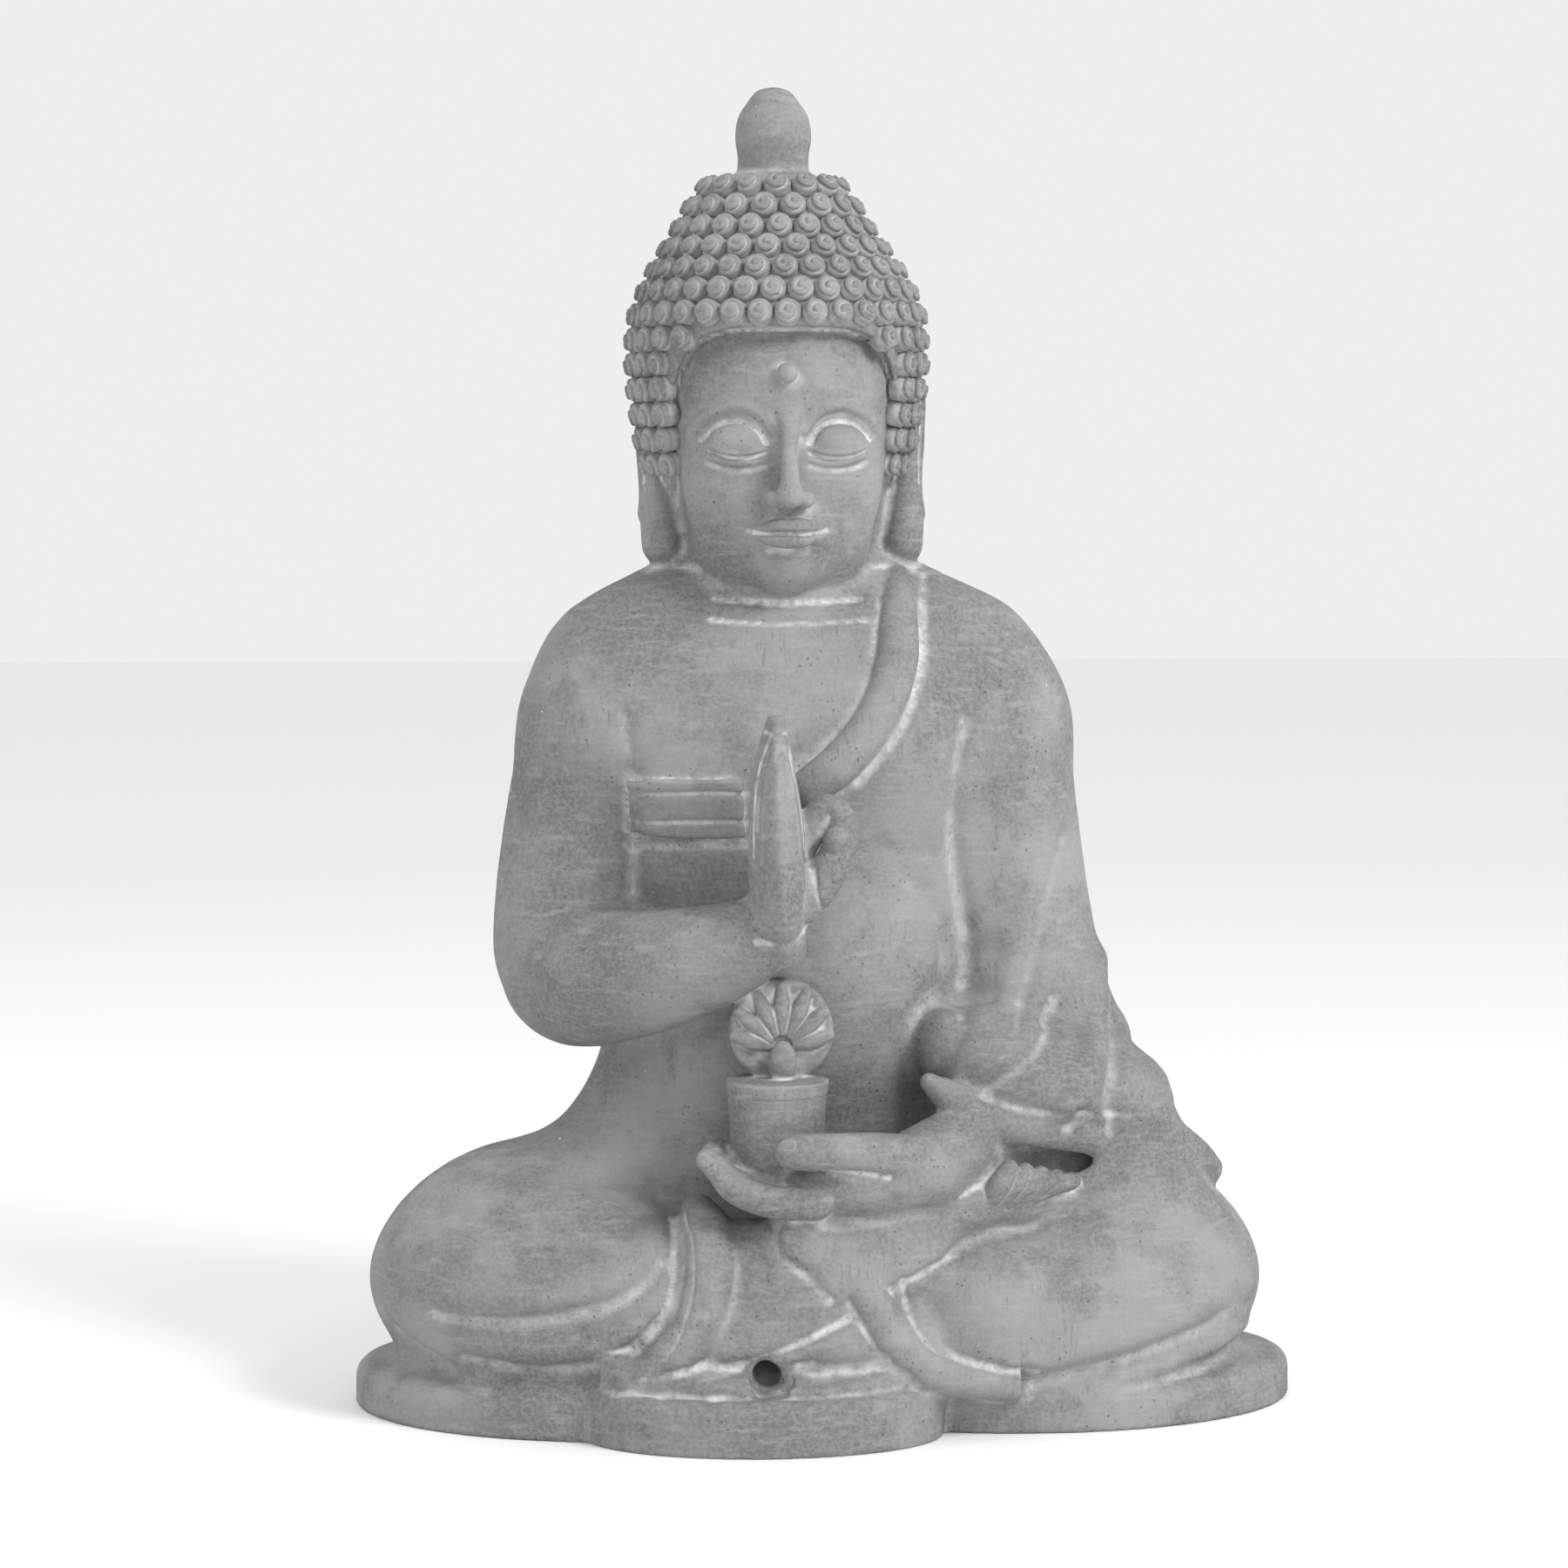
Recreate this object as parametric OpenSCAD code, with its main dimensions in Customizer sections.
// Seated buddha garden statue, hollow cast in mineral cement, split at its carved edges.
// The figure looks along -Y, its left side is +X, and the base's underside lies at Z = 0.

/* [Whole statue] */
// Height from the underside to the finial's tip
statue_h = 720; // [700:5:740]
// Width of the base slab
base_w = 516; // [500:2:530]
// Thickness of the cast wall
wall = 12; // [8:1:16]

/* [Base slab] */
// Thickness of the base slab
slab_h = 24; // [20:1:28]
// How far the slab reaches in front of and behind the centre
base_reach = 154; // [146:1:160]
// Half width of the front hem lobe
lobe_rx = 95; // [85:1:105]

/* [Head] */
// Radius of one hair curl
curl_r = 6.8; // [6:0.1:7]
// Gap between neighbouring curls of one tier
curl_gap = 1.2; // [0.8:0.1:2]
// Radius of the crown finial
finial_r = 21; // [18:0.5:23]

/* [Hands] */
// Radius of the offering jar
jar_r = 26; // [22:0.5:28]
// Radius of the blossom disc
blossom_r = 28; // [24:0.5:30]
// Number of petals on the blossom
petal_count = 7; // [5:1:9]

/* [Hidden] */

stone = [0.57, 0.57, 0.57];
stone_light = [0.66, 0.66, 0.66];
stone_dark = [0.48, 0.48, 0.48];

slice_sides = 28;
ball_sides = 14;
slice_h = 0.1;
// Overlap used only where a shape is cut away, so that no skin is left behind
cut = 1;

// Heights of the bedding planes
waist_z = 104;
head_x = -24;
head_y = 42;
neck_top_z = 462;
crown_z = 672;
hairline_z = 587;
lobe_x = -40;
lobe_y = -96;
lobe_h = 30;
jar_at = [-32, -76];
jar_bottom_z = 136;
jar_top_z = 180;
jar_rim_h = 7;
blossom_at = [-29, -62, 209];

// ---------- shared shapes ----------

// A thin level ellipse: [x, y, z, half width, half depth]
module slice(s, inset = 0)
    translate([s[0], s[1], s[2]])
        scale([s[3] - inset, s[4] - inset, 1])
            cylinder(h = slice_h, r = 1, $fn = slice_sides);

// A skin stretched over level ellipses, from the bottom one to the top one
module loft(rows, inset = 0)
    for (i = [0 : len(rows) - 2])
        hull() {
            slice(rows[i], inset);
            slice(rows[i + 1], inset);
        }

// A round blob: [x, y, z, half width, half depth, half height]
module blob(b, inset = 0)
    translate([b[0], b[1], b[2]])
        scale([b[3] - inset, b[4] - inset, b[5] - inset])
            sphere(r = 1, $fn = ball_sides);

// One point of a smooth curve through a, b, c and d, at share t of the way from b to c
function between(a, b, c, d, t) =
    0.5 * (2 * b + (c - a) * t + (2 * a - 5 * b + 4 * c - d) * t * t
           + (3 * b - a - 3 * c + d) * t * t * t);

// The same curve through a whole list of rows, with a number of steps per span
function smooth_rows(rows, steps) =
    let (last = len(rows) - 1)
    [for (i = [0 : last - 1], k = [0 : steps - 1])
        between(rows[max(i - 1, 0)], rows[i], rows[i + 1], rows[min(i + 2, last)], k / steps),
     rows[last]];

// A limb: balls [x, y, z, radius] joined along a smooth curve
module limb(balls, steps = 2, sides = 10) {
    path = smooth_rows(balls, steps);
    for (i = [0 : len(path) - 2])
        hull() {
            limb_ball(path[i], sides);
            limb_ball(path[i + 1], sides);
        }
}

module limb_ball(b, sides)
    translate([b[0], b[1], b[2]])
        sphere(r = b[3], $fn = sides);

// Blobs joined in order by hulls
module blob_chain(blobs, inset = 0)
    for (i = [0 : len(blobs) - 2])
        hull() {
            blob(blobs[i], inset);
            blob(blobs[i + 1], inset);
        }

// Everything below a level plane
module below(z) translate([-400, -400, z - 400]) cube([800, 800, 400]);

// ---------- base ----------

// Outline of a level ellipse
function ellipse(x, y, rx, ry, sides = 72) =
    [for (i = [0 : sides - 1])
        [x + rx * cos(360 * i / sides), y + ry * sin(360 * i / sides)]];

side_lobe_rx = 150;
side_lobe_x = base_w / 2 - side_lobe_rx;
side_lobe_ry = 116;

// The slab's outline: two broad side lobes and a rounded back
module slab_outline(inset = 0) {
    polygon(ellipse(-side_lobe_x, 6, side_lobe_rx - inset, side_lobe_ry - inset));
    polygon(ellipse(side_lobe_x, 8, side_lobe_rx - inset, side_lobe_ry - 4 - inset));
    polygon(ellipse(0, 40, 200 - inset, base_reach - 40 - inset));
}

module lobe_outline(inset = 0)
    polygon(ellipse(lobe_x, lobe_y, lobe_rx - inset, base_reach + lobe_y - inset));

// Height and inset of each step of the rounded upper edge
edge_steps = [[0, 0], [slab_h - 8, 1.5], [slab_h - 4, 4], [slab_h, 0]];

module base_slab()
    color(stone)
        for (i = [0 : 2])
            translate([0, 0, edge_steps[i][0]])
                linear_extrude(edge_steps[i + 1][0] - edge_steps[i][0])
                    difference() {
                        slab_outline(edge_steps[i][1]);
                        lobe_outline();
                    }

module front_hem_lobe()
    color(stone)
        union() {
            linear_extrude(slab_h) lobe_outline();
            translate([0, 0, slab_h])
                linear_extrude(lobe_h - slab_h)
                    difference() {
                        lobe_outline(3);
                        translate([lobe_x - lobe_rx, lobe_y + 4])
                            square([2 * lobe_rx, lobe_rx]);
                    }
        }

// One flat pleat of the robe's hem, lying on the front lobe
module pleat(points, low, high)
    translate([0, 0, low])
        linear_extrude(high - low)
            polygon(points);

module hem_pleat_right()
    color(stone_light)
        pleat([[-122, -116], [-86, -134], [-58, -141], [-46, -140], [-50, -120], [-50, -98], [-96, -98]],
              lobe_h, lobe_h + 8);

module hem_pleat_left()
    color(stone_light)
        pleat([[-28, -142], [-6, -141], [24, -130], [40, -116], [12, -98], [-22, -98], [-32, -116]],
              lobe_h, lobe_h + 6);

// ---------- torso, neck and robe ----------

torso_rows = [[-18, 40, waist_z, 118, 84], [-18, 40, 135, 112, 80], [-17, 40, 170, 108, 77],
              [-16, 40, 205, 106, 75], [-16, 41, 245, 108, 75], [-15, 42, 285, 114, 77],
              [-15, 43, 325, 120, 78], [-15, 44, 362, 128, 76], [-15, 45, 392, 136, 71],
              [-15, 46, 412, 137, 63], [-15, 46, 428, 127, 55], [-16, 46, 440, 109, 48],
              [-18, 46, 449, 84, 42], [-20, 46, 455, 56, 38]];

module torso_form() loft(torso_rows);

module torso_hollow()
    loft([for (i = [0 : len(torso_rows) - 5])
        let (row = torso_rows[i])
        i == 0 ? [row[0], row[1], row[2] - cut, row[3], row[4]] : row], wall);

module torso()
    color(stone)
        difference() {
            torso_form();
            torso_hollow();
            below(waist_z);
        }

neck_rows = [[-20, 36, 418, 62, 55], [-20, 34, 430, 56, 51], [-21, 32, 442, 51, 48],
             [-21, 31, 452, 49, 46], [-22, 32, neck_top_z, 48, 46]];

module neck_form() loft(neck_rows);

module neck()
    color(stone)
        difference() {
            neck_form();
            torso_form();
        }

// Middle line and half width of the robe's rolled edge, from the nape to behind the hand
collar_balls = [[38, 62, 444, 11], [42, 38, 448, 12], [40, 8, 432, 12], [38, -16, 404, 12],
                [26, -26, 376, 12], [6, -31, 352, 12], [-14, -36, 338, 11]];

module collar_form() limb(collar_balls, 2);

module robe_collar_band()
    color(stone_light)
        difference() {
            collar_form();
            torso_form();
            neck_form();
            head_form();
        }

module chest_wrap_band()
    color(stone_light)
        difference() {
            intersection() {
                loft([for (z = [310 : 4 : 346]) [-15, 41, z, 121, 80.5]]);
                translate([-106, -60, 300]) cube([60, 60, 60]);
            }
            torso_form();
            upper_arm_form();
        }

// ---------- right arm ----------

upper_arm_balls = [[-110, 44, 382, 50], [-127, 42, 340, 45], [-137, 36, 294, 43],
                   [-141, 22, 254, 43], [-138, 6, 236, 41]];

module upper_arm_form() limb(upper_arm_balls, 2, ball_sides);

module right_upper_arm()
    color(stone)
        difference() {
            upper_arm_form();
            torso_form();
        }

forearm_balls = [[-122, -22, 236, 37], [-92, -48, 243, 33], [-60, -66, 255, 27],
                 [-34, -76, 267, 22]];

module forearm_form() limb(forearm_balls, 2, ball_sides);

module right_forearm()
    color(stone)
        difference() {
            forearm_form();
            upper_arm_form();
            torso_form();
        }

hand_rows = [[-33, -78, 256, 19, 20], [-34, -79, 268, 21, 25], [-35, -80, 282, 21, 29],
             [-35, -81, 296, 20, 31], [-34, -81, 308, 17, 31], [-34, -81, 318, 14, 30],
             [-34, -81, 326, 12, 28]];

module hand_form() loft(hand_rows);

module right_hand()
    color(stone)
        difference() {
            hand_form();
            forearm_form();
            torso_form();
        }

// Tip heights of the three raised fingers, from the little finger to the middle finger
finger_tips = [364, 376, 383];

module right_fingers_form()
    for (i = [0 : 2])
        limb([[-35, -100 + 17 * i, 314, 9.5], [-35, -99 + 16 * i, 338, 9],
              [-34, -97 + 15 * i, finger_tips[i] - 8, 7]]);

module right_hand_fingers()
    color(stone)
        difference() {
            right_fingers_form();
            hand_form();
        }

module right_thumb_and_index_form() {
    limb([[-22, -64, 312, 9], [-10, -58, 330, 9], [-2, -62, 322, 8], [0, -70, 310, 7]]);
    limb([[-18, -92, 284, 10], [-8, -88, 300, 9], [-2, -80, 314, 7.5]]);
}

module right_thumb_and_index()
    color(stone)
        difference() {
            right_thumb_and_index_form();
            hand_form();
            right_fingers_form();
            forearm_form();
            torso_form();
            collar_form();
        }

// ---------- left arm ----------

sleeve_rows = [[120, 8, 158, 62, 62], [118, 18, 182, 60, 60], [112, 26, 210, 56, 54],
               [106, 32, 245, 52, 50], [101, 36, 285, 50, 48], [96, 40, 325, 50, 46],
               [90, 42, 360, 52, 44], [82, 44, 390, 52, 40], [70, 45, 412, 50, 34],
               [54, 46, 428, 44, 26]];

module sleeve_form() loft(sleeve_rows);

module left_sleeve()
    color(stone)
        difference() {
            sleeve_form();
            torso_form();
            collar_form();
        }

// The sleeve's mouth, sagging over the left thigh
module sleeve_hem_form()
    blob_chain([[70, -52, 178, 22, 26, 14], [98, -52, 158, 24, 30, 12], [134, -44, 152, 26, 34, 14],
                [168, -22, 150, 26, 34, 16], [196, -6, 134, 20, 30, 12]]);

module left_sleeve_hem()
    color(stone_light)
        difference() {
            sleeve_hem_form();
            sleeve_form();
            torso_form();
            left_thigh_form();
            left_forearm_form();
        }

left_forearm_balls = [[104, -34, 142, 26], [84, -56, 138, 24], [62, -74, 140, 21],
                      [44, -84, 143, 18]];

module left_forearm_form() limb(left_forearm_balls, 2, ball_sides);

module left_forearm()
    color(stone)
        difference() {
            left_forearm_form();
            torso_form();
            sleeve_form();
            left_thigh_form();
            left_foot_region();
        }

// The crossed shins and the foot, which the left hand lies above
module left_foot_region() {
    shin_form();
    foot_form();
}

left_palm_rows = [[0, -92, 118, 30, 20], [2, -91, 121, 40, 27], [4, -90, 125, 45, 30],
                  [6, -89, 130, 46, 31], [8, -88, 135, 44, 30], [12, -88, 140, 38, 27],
                  [18, -88, 145, 28, 22], [22, -88, 149, 18, 15]];

module left_palm_form() loft(left_palm_rows);

module left_palm()
    color(stone)
        difference() {
            left_palm_form();
            left_forearm_form();
            foot_form();
            shin_form();
        }

module left_fingers_form()
    for (i = [0 : 3])
        limb([[-26, -108 + 13 * i, 125 + i, 8.5], [-48, -108 + 12 * i, 132 + i, 8],
              [-68 + 3 * abs(i - 1), -104 + 11 * i, 146, 6.5]]);

module left_fingers()
    color(stone)
        difference() {
            left_fingers_form();
            left_palm_form();
            jar_form();
        }

module left_thumb_form()
    limb([[30, -100, 144, 13], [4, -112, 151, 10.5], [-16, -116, 153, 9.5], [-28, -116, 153, 8]], 3, 10);

module left_thumb()
    color(stone)
        difference() {
            left_thumb_form();
            left_palm_form();
            left_forearm_form();
            jar_form();
        }

// ---------- jar and blossom ----------

module jar_form()
    translate([jar_at[0], jar_at[1], jar_bottom_z])
        rotate_extrude($fn = 64)
            polygon([[0, 0], [jar_r - 4, 0], [jar_r - 2, 4], [jar_r, 14], [jar_r, 30],
                     [jar_r - 1, jar_top_z - jar_bottom_z], [0, jar_top_z - jar_bottom_z]]);

module offering_jar()
    color(stone)
        difference() {
            jar_form();
            left_palm_form();
        }

module jar_rim()
    color(stone_light)
        translate([jar_at[0], jar_at[1], jar_top_z])
            rotate_extrude($fn = 64)
                polygon([[0, 0], [jar_r, 0], [jar_r + 1.5, 1.5], [jar_r + 1.5, jar_rim_h - 1.5],
                         [jar_r, jar_rim_h], [0, jar_rim_h]]);

disc_t = 12;

module blossom_disc()
    color(stone_dark)
        translate(blossom_at)
            rotate([90, 0, 0])
                difference() {
                    cylinder(h = disc_t, r = blossom_r, center = true, $fn = 64);
                    translate([-blossom_r, -blossom_r - 20, -disc_t])
                        cube([2 * blossom_r, 20 + blossom_r + jar_top_z + jar_rim_h - blossom_at[2], 2 * disc_t]);
                }

// Angle between neighbouring petals of the fan
petal_step = 170 / (petal_count - 1);

module blossom_petals()
    color(stone_light)
        translate([blossom_at[0], blossom_at[1] - disc_t / 2, blossom_at[2] - 8])
            for (i = [0 : petal_count - 1])
                rotate([0, 85 - petal_step * i, 0])
                    translate([-2, -2.5, 14])
                        cube([4, 2.5, i % 2 == 0 ? 15 : 17]);

module blossom_bud()
    color(stone_light)
        translate([blossom_at[0], blossom_at[1] - disc_t / 2 - 6.6, jar_top_z + jar_rim_h])
            rotate_extrude($fn = 32)
                polygon([[0, 0], [6, 0], [6.5, 8], [5.5, 13], [3, 16.5], [0, 18]]);

// ---------- head ----------

head_rows = [[-22, 16, 442, 20, 24], [-22, 20, 447, 36, 42], [-22, 26, 456, 50, 58],
             [-23, 31, 470, 58, 68], [-23, 34, 490, 64, 74], [-23, 36, 515, 67, 78],
             [-24, 38, 545, 68, 80], [-24, 40, 572, 67, 79], [-24, 41, 595, 62, 74],
             [-24, 42, 614, 50, 60], [-25, 43, 628, 32, 40], [-25, 44, 636, 12, 16]];

module head_form() loft(head_rows);

module head()
    color(stone)
        difference() {
            head_form();
            head_hollow();
            neck_form();
        }

// The hollow opens where the head stands on the neck
module head_hollow()
    loft([for (i = [3 : len(head_rows) - 3])
        let (row = head_rows[i])
        i == 3 ? [row[0], row[1], neck_top_z - cut, 52, 52] : row], wall);

module forehead_dot()
    color(stone_light)
        translate([head_x, head_y - 82, 562])
            rotate([90, 0, 0])
                cylinder(h = 4, r = 6, $fn = 32);

// Long ear with a hanging lobe; side is -1 for the right ear and 1 for the left
module ear_form(side)
    translate([head_x + 3, 0, 0])
        scale([side, 1, 1])
            limb([[66, 38, 560, 7], [72, 50, 548, 8], [71, 54, 524, 8], [67, 48, 500, 8],
                  [68, 42, 482, 11], [66, 40, 470, 12]], 2, ball_sides);

module right_ear()
    color(stone)
        difference() {
            ear_form(-1);
            head_form();
            hair_form();
        }

module left_ear()
    color(stone)
        difference() {
            ear_form(1);
            head_form();
            hair_form();
        }

hair_rows = [[-24, 66, 478, 52, 50], [-24, 60, 500, 65, 65], [-24, 52, 525, 71, 77],
             [-24, 46, 550, 75, 83], [-24, 44, 575, 77, 86], [-24, 43, 595, 75, 83],
             [-24, 43, 612, 68, 75], [-25, 44, 626, 59, 63], [-26, 45, 638, 51, 53],
             [-26, 45, 650, 44, 46], [-26, 45, 660, 38, 39], [-26, 45, 667, 31, 32],
             [-26, 45, crown_z, 23, 23]];

module hair_form() loft(hair_rows);

// The space in front of the hairline
module face_window() {
    translate([head_x, -60, hairline_z - 62])
        rotate([-90, 0, 0])
            cylinder(h = 100, r = 62, $fn = 48);
    translate([head_x - 62, -60, 440]) cube([124, 100, hairline_z - 62 - 440]);
    translate([head_x - 100, -60, 400]) cube([200, 88, 112]);
}

module hair_cap()
    color(stone_dark)
        difference() {
            hair_form();
            head_form();
            face_window();
            neck_form();
            below(482);
        }

module crown_finial()
    color(stone_light)
        translate([-26, 45, crown_z + slice_h])
            rotate_extrude($fn = 48)
                polygon(concat([[0, 0], [finial_r - 2, 0], [finial_r - 1.5, 8], [finial_r, 22]],
                               [for (a = [10 : 10 : 80])
                                   [finial_r * cos(a), 22 + (finial_h - 22) * sin(a)]],
                               [[0, finial_h]]));

finial_h = statue_h - crown_z - slice_h;

// ---------- hair curls ----------

// Middle height of each tier, about one curl apart along the cap's sloping side
tier_heights = [487, 500.5, 514, 527.5, 541, 554.5, 568, 581, 594, 606, 617.5, 629, 640.5,
                652, 663];

// The cap's ellipse at a height, worked out between its rows
function hair_row(z) =
    let (i = max([for (k = [0 : len(hair_rows) - 2]) if (hair_rows[k][2] <= z) k]),
         a = hair_rows[i],
         b = hair_rows[i + 1],
         t = (z - a[2]) / (b[2] - a[2]))
    a + (b - a) * t;

// Degrees on each side of the front that a tier leaves free for the face
function face_gap(z) = z > hairline_z ? 0 : z > 575 ? 44 : z > 505 ? 58 : 78;

// A domed curl standing on its flat side
module curl()
    rotate_extrude($fn = 20)
        polygon([[0, 0], [curl_r, 0], [curl_r - 0.2, 3], [curl_r - 2.4, 6.4], [2, 8.2], [0, 8.6]]);

// The share of a row's circle that carries curls, and the curls on it
module curl_tier(index) {
    z = tier_heights[index];
    row = hair_row(z);
    higher = hair_row(min(z + 2, crown_z));
    slope = atan2(row[3] - higher[3], 2);
    gap = face_gap(z);
    spacing = 2 * curl_r + curl_gap;
    length = 3.1416 * (row[3] + row[4]) * (360 - 2 * gap) / 360;
    count = floor(length / spacing);
    step = (360 - 2 * gap) / (gap == 0 ? count : count - 1);
    shift = gap == 0 ? step / 2 * (index % 2) : 0;
    for (k = [0 : count - 1]) {
        angle = -90 + gap + shift + step * k;
        normal = atan2(sin(angle) / row[4], cos(angle) / row[3]);
        translate([row[0] + row[3] * cos(angle), row[1] + row[4] * sin(angle), z])
            rotate([0, 90 - slope, normal])
                curl();
    }
}

module hair_curls_tier_01() color(stone) curl_tier(0);
module hair_curls_tier_02() color(stone) curl_tier(1);
module hair_curls_tier_03() color(stone) curl_tier(2);
module hair_curls_tier_04() color(stone) curl_tier(3);
module hair_curls_tier_05() color(stone) curl_tier(4);
module hair_curls_tier_06() color(stone) curl_tier(5);
module hair_curls_tier_07() color(stone) curl_tier(6);
module hair_curls_tier_08() color(stone) curl_tier(7);
module hair_curls_tier_09() color(stone) curl_tier(8);
module hair_curls_tier_10() color(stone) curl_tier(9);
module hair_curls_tier_11() color(stone) curl_tier(10);
module hair_curls_tier_12() color(stone) curl_tier(11);
module hair_curls_tier_13() color(stone) curl_tier(12);
module hair_curls_tier_14() color(stone) curl_tier(13);
module hair_curls_tier_15() color(stone) curl_tier(14);

// ---------- lap and legs ----------

right_thigh_blobs = [[-88, 66, 86, 68, 70, 68], [-148, 24, 82, 84, 84, 64],
                     [-170, -8, 72, 82, 86, 58], [-120, -56, 62, 74, 52, 46],
                     [-92, -66, 60, 40, 46, 42]];
left_thigh_blobs = [[66, 66, 84, 68, 70, 64], [138, 24, 80, 84, 84, 64],
                    [159, -8, 70, 82, 86, 60], [104, -58, 60, 74, 52, 44],
                    [70, -70, 56, 40, 46, 38]];

module right_thigh_form() blob_chain(right_thigh_blobs);
module left_thigh_form() blob_chain(left_thigh_blobs);

module thigh_hollow(blobs)
    translate([0, 0, -8])
        blob_chain([for (i = [0 : 2]) blobs[i]], wall);

module right_thigh_drape()
    color(stone)
        difference() {
            right_thigh_form();
            thigh_hollow(right_thigh_blobs);
            torso_form();
            lap_form();
            below(slab_h);
        }

module left_thigh_drape()
    color(stone)
        difference() {
            left_thigh_form();
            thigh_hollow(left_thigh_blobs);
            torso_form();
            lap_form();
            below(slab_h);
        }

lap_rows = [[-14, 22, slab_h, 96, 92], [-14, 24, 36, 98, 94], [-14, 26, 48, 98, 94],
            [-14, 28, 60, 98, 94], [-14, 30, 72, 98, 93], [-14, 32, 82, 98, 92],
            [-14, 34, 92, 98, 90], [-14, 36, 98, 97, 88], [-14, 38, waist_z - slice_h, 96, 86]];

module lap_form() loft(lap_rows);

module lap_body()
    color(stone)
        difference() {
            lap_form();
            loft([for (i = [0 : len(lap_rows) - 1])
                let (row = lap_rows[i], z = i == 0 ? row[2] - cut : i == 8 ? row[2] + cut : row[2])
                [row[0], row[1], z, row[3], row[4]]], wall);
        }

// The two crossed shins, bare between the hems
module shin_form()
    limb([[-78, -72, 88, 27], [-42, -84, 88, 26], [-6, -86, 84, 25], [28, -84, 80, 24]], 2, ball_sides);

module lower_shin_form()
    limb([[-66, -104, 46, 22], [-36, -110, 48, 22], [-6, -108, 56, 22], [24, -100, 62, 22]], 2,
         ball_sides);

module right_shin()
    color(stone)
        difference() {
            shin_form();
            lap_form();
            right_thigh_form();
            left_thigh_form();
            below(slab_h);
        }

module left_shin()
    color(stone)
        difference() {
            lower_shin_form();
            shin_form();
            lap_form();
            right_thigh_form();
            left_thigh_form();
            below(lobe_h + 8);
        }

module foot_form() {
    limb([[-26, -98, 98, 15], [4, -94, 104, 17], [36, -84, 110, 18], [68, -70, 118, 18],
          [88, -62, 124, 15]], 3);
}

module right_foot()
    color(stone)
        difference() {
            foot_form();
            shin_form();
            lap_form();
            right_thigh_form();
            left_thigh_form();
            torso_form();
        }

module toes_form()
    for (i = [0 : 4])
        limb([[92 + 3 * i, -68 + 8 * i, 126, 8 - 0.6 * i],
              [108 + 4 * i, -66 + 8 * i, 129 - i, 7.5 - 0.6 * i],
              [118 + 4 * i, -64 + 8 * i, 126 - i, 6 - 0.5 * i]], 2);

module right_foot_toes()
    color(stone)
        difference() {
            toes_form();
            foot_form();
            left_thigh_form();
            left_forearm_form();
        }

// Rolled hems that close the trouser-like drape over each shin
module right_hem_form()
    limb([[-74, -60, 112, 11], [-70, -92, 102, 13], [-72, -110, 80, 13], [-80, -118, 56, 13],
          [-98, -118, 38, 13]], 2);

module left_hem_form()
    limb([[4, -108, 82, 10], [14, -118, 68, 13], [26, -120, 52, 13], [42, -118, 38, 13],
          [64, -112, 32, 11]], 2);

module right_leg_hem()
    color(stone_light)
        difference() {
            right_hem_form();
            right_thigh_form();
            shin_form();
            lower_shin_form();
            lap_form();
            below(lobe_h + 8);
        }

module left_leg_hem()
    color(stone_light)
        difference() {
            left_hem_form();
            left_thigh_form();
            shin_form();
            lower_shin_form();
            lap_form();
            below(lobe_h + 8);
        }

base_slab();
front_hem_lobe();
hem_pleat_right();
hem_pleat_left();
lap_body();
right_thigh_drape();
left_thigh_drape();
right_leg_hem();
left_leg_hem();
right_shin();
left_shin();
right_foot();
right_foot_toes();
torso();
neck();
robe_collar_band();
chest_wrap_band();
right_upper_arm();
right_forearm();
right_hand();
right_hand_fingers();
right_thumb_and_index();
left_sleeve();
left_sleeve_hem();
left_forearm();
left_palm();
left_fingers();
left_thumb();
offering_jar();
jar_rim();
blossom_disc();
blossom_petals();
blossom_bud();
head();
forehead_dot();
right_ear();
left_ear();
hair_cap();
crown_finial();
hair_curls_tier_01();
hair_curls_tier_02();
hair_curls_tier_03();
hair_curls_tier_04();
hair_curls_tier_05();
hair_curls_tier_06();
hair_curls_tier_07();
hair_curls_tier_08();
hair_curls_tier_09();
hair_curls_tier_10();
hair_curls_tier_11();
hair_curls_tier_12();
hair_curls_tier_13();
hair_curls_tier_14();
hair_curls_tier_15();
